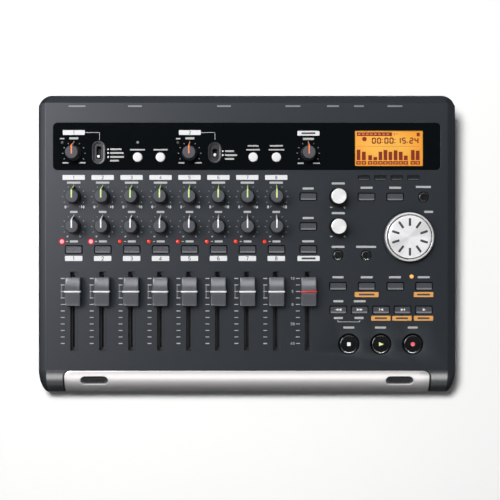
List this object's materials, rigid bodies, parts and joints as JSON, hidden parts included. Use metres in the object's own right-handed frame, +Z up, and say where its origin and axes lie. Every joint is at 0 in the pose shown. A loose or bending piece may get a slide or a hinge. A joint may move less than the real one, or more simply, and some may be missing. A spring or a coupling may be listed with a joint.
{
  "type": "digital multitrack recorder",
  "caption": "Tabletop digital multitrack recorder with a sloped panel of faders, knobs, keys and data wheel, a black window with amber display and a silver front edge.",
  "frame": {"origin": "on the table under the middle of the case", "axes": "+X to the user's right, +Y away from the user, +Z up"},
  "size_m": [0.2916, 0.2073, 0.0512],
  "materials": {
    "case": "fine grain",
    "base": "fine grain",
    "trim": "satin silver",
    "grille": "perforated, black",
    "capsule": "plain",
    "window": "gloss black",
    "display": "amber lit",
    "board": "solder mask",
    "pot_metal": "plain",
    "switch_body": "plain",
    "led": "tinted",
    "rear": "black powder coat",
    "socket": "black",
    "foot": "matt",
    "screw": "black oxide",
    "fader": "satin",
    "knob": "soft touch",
    "eq_knob": "silver top, dark skirt",
    "wheel": "spun silver",
    "lever": "white tip",
    "standby": "plain",
    "transport": "gloss black",
    "key": "satin",
    "white_key": "satin white",
    "round_key": "gloss black"
  },
  "bodies": {
    "chassis": {"upper_case": "case", "lower_case": "base", "front_trim": "trim", "mic_grilles": "grille", "mic_capsules": "capsule", "window_panel": "window", "display_module": "display", "circuit_boards": "board", "potentiometers": "pot_metal", "key_switches": "switch_body", "indicator_leds": "led", "rear_panel": "rear", "sockets": "socket", "rubber_feet": "foot", "case_screws": "screw"},
    "fader_1": {"fader_1": "fader"},
    "fader_2": {"fader_2": "fader"},
    "fader_3": {"fader_3": "fader"},
    "fader_4": {"fader_4": "fader"},
    "fader_5": {"fader_5": "fader"},
    "fader_6": {"fader_6": "fader"},
    "fader_7": {"fader_7": "fader"},
    "fader_8": {"fader_8": "fader"},
    "master_fader": {"master_fader": "fader"},
    "reverb_knob_1": {"reverb_knob_1": "knob"},
    "reverb_knob_2": {"reverb_knob_2": "knob"},
    "reverb_knob_3": {"reverb_knob_3": "knob"},
    "reverb_knob_4": {"reverb_knob_4": "knob"},
    "reverb_knob_5": {"reverb_knob_5": "knob"},
    "reverb_knob_6": {"reverb_knob_6": "knob"},
    "reverb_knob_7": {"reverb_knob_7": "knob"},
    "reverb_knob_8": {"reverb_knob_8": "knob"},
    "pan_knob_1": {"pan_knob_1": "knob"},
    "pan_knob_2": {"pan_knob_2": "knob"},
    "pan_knob_3": {"pan_knob_3": "knob"},
    "pan_knob_4": {"pan_knob_4": "knob"},
    "pan_knob_5": {"pan_knob_5": "knob"},
    "pan_knob_6": {"pan_knob_6": "knob"},
    "pan_knob_7": {"pan_knob_7": "knob"},
    "pan_knob_8": {"pan_knob_8": "knob"},
    "trim_knob_a": {"trim_knob_a": "knob"},
    "trim_knob_b": {"trim_knob_b": "knob"},
    "phones_knob": {"phones_knob": "knob"},
    "eq_high_knob": {"eq_high_knob": "eq_knob"},
    "eq_low_knob": {"eq_low_knob": "eq_knob"},
    "data_wheel": {"data_wheel": "wheel"},
    "input_switch_a": {"input_switch_a": "lever"},
    "input_switch_b": {"input_switch_b": "lever"},
    "standby_switch": {"standby_switch": "standby"},
    "stop_key": {"stop_key": "transport"},
    "play_key": {"play_key": "transport"},
    "record_key": {"record_key": "transport"},
    "rec_keys": {"rec_keys": "key"},
    "mixer_keys": {"mixer_keys": "key"},
    "white_keys": {"white_keys": "white_key"},
    "function_keys": {"function_keys": "key"},
    "menu_keys": {"menu_keys": "key"},
    "tool_keys": {"tool_keys": "round_key"},
    "edit_keys": {"edit_keys": "key"},
    "locate_keys": {"locate_keys": "key"}
  },
  "joints": [
    {"name": "fader_1_slide", "type": "slide", "parent": "chassis", "child": "fader_1", "axis": [0, 0.9986, 0.0523], "range_m": [-0.03618, 0.00882]},
    {"name": "fader_2_slide", "type": "slide", "parent": "chassis", "child": "fader_2", "axis": [0, 0.9986, 0.0523], "range_m": [-0.03618, 0.00882]},
    {"name": "fader_3_slide", "type": "slide", "parent": "chassis", "child": "fader_3", "axis": [0, 0.9986, 0.0523], "range_m": [-0.03618, 0.00882]},
    {"name": "fader_4_slide", "type": "slide", "parent": "chassis", "child": "fader_4", "axis": [0, 0.9986, 0.0523], "range_m": [-0.03618, 0.00882]},
    {"name": "fader_5_slide", "type": "slide", "parent": "chassis", "child": "fader_5", "axis": [0, 0.9986, 0.0523], "range_m": [-0.03618, 0.00882]},
    {"name": "fader_6_slide", "type": "slide", "parent": "chassis", "child": "fader_6", "axis": [0, 0.9986, 0.0523], "range_m": [-0.03618, 0.00882]},
    {"name": "fader_7_slide", "type": "slide", "parent": "chassis", "child": "fader_7", "axis": [0, 0.9986, 0.0523], "range_m": [-0.03618, 0.00882]},
    {"name": "fader_8_slide", "type": "slide", "parent": "chassis", "child": "fader_8", "axis": [0, 0.9986, 0.0523], "range_m": [-0.03618, 0.00882]},
    {"name": "master_fader_slide", "type": "slide", "parent": "chassis", "child": "master_fader", "axis": [0, 0.9986, 0.0523], "range_m": [-0.03618, 0.00882]},
    {"name": "reverb_knob_1_turn", "type": "hinge", "parent": "chassis", "child": "reverb_knob_1", "pos_m": [-0.1207, 0.03286, 0.03572], "axis": [0, -0.0523, 0.9986], "range_deg": [-150, 150]},
    {"name": "reverb_knob_2_turn", "type": "hinge", "parent": "chassis", "child": "reverb_knob_2", "pos_m": [-0.1005, 0.03286, 0.03572], "axis": [0, -0.0523, 0.9986], "range_deg": [-150, 150]},
    {"name": "reverb_knob_3_turn", "type": "hinge", "parent": "chassis", "child": "reverb_knob_3", "pos_m": [-0.0803, 0.03286, 0.03572], "axis": [0, -0.0523, 0.9986], "range_deg": [-150, 150]},
    {"name": "reverb_knob_4_turn", "type": "hinge", "parent": "chassis", "child": "reverb_knob_4", "pos_m": [-0.0601, 0.03286, 0.03572], "axis": [0, -0.0523, 0.9986], "range_deg": [-150, 150]},
    {"name": "reverb_knob_5_turn", "type": "hinge", "parent": "chassis", "child": "reverb_knob_5", "pos_m": [-0.0399, 0.03286, 0.03572], "axis": [0, -0.0523, 0.9986], "range_deg": [-150, 150]},
    {"name": "reverb_knob_6_turn", "type": "hinge", "parent": "chassis", "child": "reverb_knob_6", "pos_m": [-0.0197, 0.03286, 0.03572], "axis": [0, -0.0523, 0.9986], "range_deg": [-150, 150]},
    {"name": "reverb_knob_7_turn", "type": "hinge", "parent": "chassis", "child": "reverb_knob_7", "pos_m": [0.0005, 0.03286, 0.03572], "axis": [0, -0.0523, 0.9986], "range_deg": [-150, 150]},
    {"name": "reverb_knob_8_turn", "type": "hinge", "parent": "chassis", "child": "reverb_knob_8", "pos_m": [0.0207, 0.03286, 0.03572], "axis": [0, -0.0523, 0.9986], "range_deg": [-150, 150]},
    {"name": "pan_knob_1_turn", "type": "hinge", "parent": "chassis", "child": "pan_knob_1", "pos_m": [-0.1207, 0.01208, 0.03463], "axis": [0, -0.0523, 0.9986], "range_deg": [-150, 150]},
    {"name": "pan_knob_2_turn", "type": "hinge", "parent": "chassis", "child": "pan_knob_2", "pos_m": [-0.1005, 0.01208, 0.03463], "axis": [0, -0.0523, 0.9986], "range_deg": [-150, 150]},
    {"name": "pan_knob_3_turn", "type": "hinge", "parent": "chassis", "child": "pan_knob_3", "pos_m": [-0.0803, 0.01208, 0.03463], "axis": [0, -0.0523, 0.9986], "range_deg": [-150, 150]},
    {"name": "pan_knob_4_turn", "type": "hinge", "parent": "chassis", "child": "pan_knob_4", "pos_m": [-0.0601, 0.01208, 0.03463], "axis": [0, -0.0523, 0.9986], "range_deg": [-150, 150]},
    {"name": "pan_knob_5_turn", "type": "hinge", "parent": "chassis", "child": "pan_knob_5", "pos_m": [-0.0399, 0.01208, 0.03463], "axis": [0, -0.0523, 0.9986], "range_deg": [-150, 150]},
    {"name": "pan_knob_6_turn", "type": "hinge", "parent": "chassis", "child": "pan_knob_6", "pos_m": [-0.0197, 0.01208, 0.03463], "axis": [0, -0.0523, 0.9986], "range_deg": [-150, 150]},
    {"name": "pan_knob_7_turn", "type": "hinge", "parent": "chassis", "child": "pan_knob_7", "pos_m": [0.0005, 0.01208, 0.03463], "axis": [0, -0.0523, 0.9986], "range_deg": [-150, 150]},
    {"name": "pan_knob_8_turn", "type": "hinge", "parent": "chassis", "child": "pan_knob_8", "pos_m": [0.0207, 0.01208, 0.03463], "axis": [0, -0.0523, 0.9986], "range_deg": [-150, 150]},
    {"name": "trim_knob_a_turn", "type": "hinge", "parent": "chassis", "child": "trim_knob_a", "pos_m": [-0.1207, 0.06311, 0.03731], "axis": [0, -0.0523, 0.9986], "range_deg": [-150, 150]},
    {"name": "trim_knob_b_turn", "type": "hinge", "parent": "chassis", "child": "trim_knob_b", "pos_m": [-0.0399, 0.06311, 0.03731], "axis": [0, -0.0523, 0.9986], "range_deg": [-150, 150]},
    {"name": "phones_knob_turn", "type": "hinge", "parent": "chassis", "child": "phones_knob", "pos_m": [0.0429, 0.06311, 0.03731], "axis": [0, -0.0523, 0.9986], "range_deg": [-150, 150]},
    {"name": "eq_high_knob_turn", "type": "hinge", "parent": "chassis", "child": "eq_high_knob", "pos_m": [0.0635, 0.03286, 0.03572], "axis": [0, -0.0523, 0.9986], "continuous": true},
    {"name": "eq_low_knob_turn", "type": "hinge", "parent": "chassis", "child": "eq_low_knob", "pos_m": [0.0635, 0.01208, 0.03463], "axis": [0, -0.0523, 0.9986], "continuous": true},
    {"name": "data_wheel_turn", "type": "hinge", "parent": "chassis", "child": "data_wheel", "pos_m": [0.1129, 0.00479, 0.03425], "axis": [0, -0.0523, 0.9986], "continuous": true},
    {"name": "input_switch_a_slide", "type": "slide", "parent": "chassis", "child": "input_switch_a", "axis": [0, 0.9986, 0.0523], "range_m": [0, 0.0054]},
    {"name": "input_switch_b_slide", "type": "slide", "parent": "chassis", "child": "input_switch_b", "axis": [0, 0.9986, 0.0523], "range_m": [0, 0.0027]},
    {"name": "standby_switch_slide", "type": "slide", "parent": "chassis", "child": "standby_switch", "axis": [1, 0, 0], "range_m": [0, 0.004]},
    {"name": "stop_key_press", "type": "slide", "parent": "chassis", "child": "stop_key", "axis": [0, 0.0523, -0.9986], "range_m": [0, 0.0006], "stiffness_N_per_m": 600, "springref_m": -0.0008},
    {"name": "play_key_press", "type": "slide", "parent": "chassis", "child": "play_key", "axis": [0, 0.0523, -0.9986], "range_m": [0, 0.0006], "stiffness_N_per_m": 600, "springref_m": -0.0008},
    {"name": "record_key_press", "type": "slide", "parent": "chassis", "child": "record_key", "axis": [0, 0.0523, -0.9986], "range_m": [0, 0.0006], "stiffness_N_per_m": 600, "springref_m": -0.0008},
    {"name": "rec_keys_press", "type": "slide", "parent": "chassis", "child": "rec_keys", "axis": [0, 0.0523, -0.9986], "range_m": [0, 0.0005], "stiffness_N_per_m": 600, "springref_m": -0.0008},
    {"name": "mixer_keys_press", "type": "slide", "parent": "chassis", "child": "mixer_keys", "axis": [0, 0.0523, -0.9986], "range_m": [0, 0.0005], "stiffness_N_per_m": 600, "springref_m": -0.0008},
    {"name": "white_keys_press", "type": "slide", "parent": "chassis", "child": "white_keys", "axis": [0, 0.0523, -0.9986], "range_m": [0, 0.0005], "stiffness_N_per_m": 600, "springref_m": -0.0008},
    {"name": "function_keys_press", "type": "slide", "parent": "chassis", "child": "function_keys", "axis": [0, 0.0523, -0.9986], "range_m": [0, 0.0005], "stiffness_N_per_m": 600, "springref_m": -0.0008},
    {"name": "menu_keys_press", "type": "slide", "parent": "chassis", "child": "menu_keys", "axis": [0, 0.0523, -0.9986], "range_m": [0, 0.0005], "stiffness_N_per_m": 600, "springref_m": -0.0008},
    {"name": "tool_keys_press", "type": "slide", "parent": "chassis", "child": "tool_keys", "axis": [0, 0.0523, -0.9986], "range_m": [0, 0.0005], "stiffness_N_per_m": 600, "springref_m": -0.0008},
    {"name": "edit_keys_press", "type": "slide", "parent": "chassis", "child": "edit_keys", "axis": [0, 0.0523, -0.9986], "range_m": [0, 0.0005], "stiffness_N_per_m": 600, "springref_m": -0.0008},
    {"name": "locate_keys_press", "type": "slide", "parent": "chassis", "child": "locate_keys", "axis": [0, 0.0523, -0.9986], "range_m": [0, 0.0005], "stiffness_N_per_m": 600, "springref_m": -0.0008}
  ]
}
